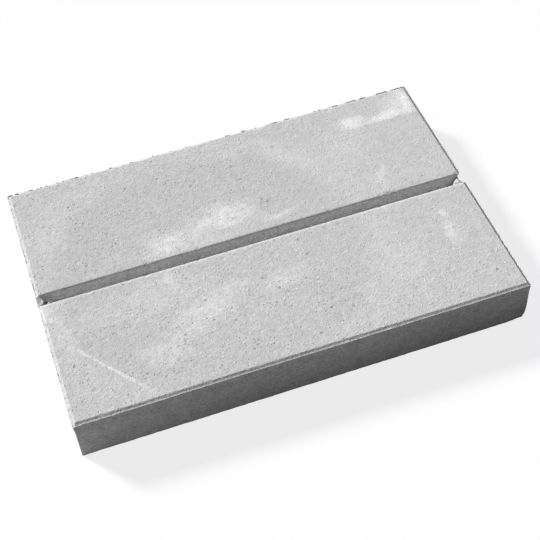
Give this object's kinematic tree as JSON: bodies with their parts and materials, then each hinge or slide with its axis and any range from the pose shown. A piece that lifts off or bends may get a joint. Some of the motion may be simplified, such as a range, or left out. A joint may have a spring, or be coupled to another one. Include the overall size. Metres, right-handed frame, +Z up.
{
  "type": "wall coping cap",
  "caption": "Flat rectangular concrete coping slab with a pressed stepped top edge and a splitting groove along its middle, closed by a thin web at each end.",
  "frame": {"origin": "centre of the flat bed face, on the level that the slab lies on", "axes": "+X along the slab's length and the wall, +Y across the wall, +Z up towards the grooved top face"},
  "size_m": [0.5, 0.35, 0.053],
  "materials": {
    "concrete": "matt grey pressed concrete with fine pits, grains and pale lime bloom"
  },
  "bodies": {
    "root": {"coping_slab": "concrete"}
  },
  "joints": []
}
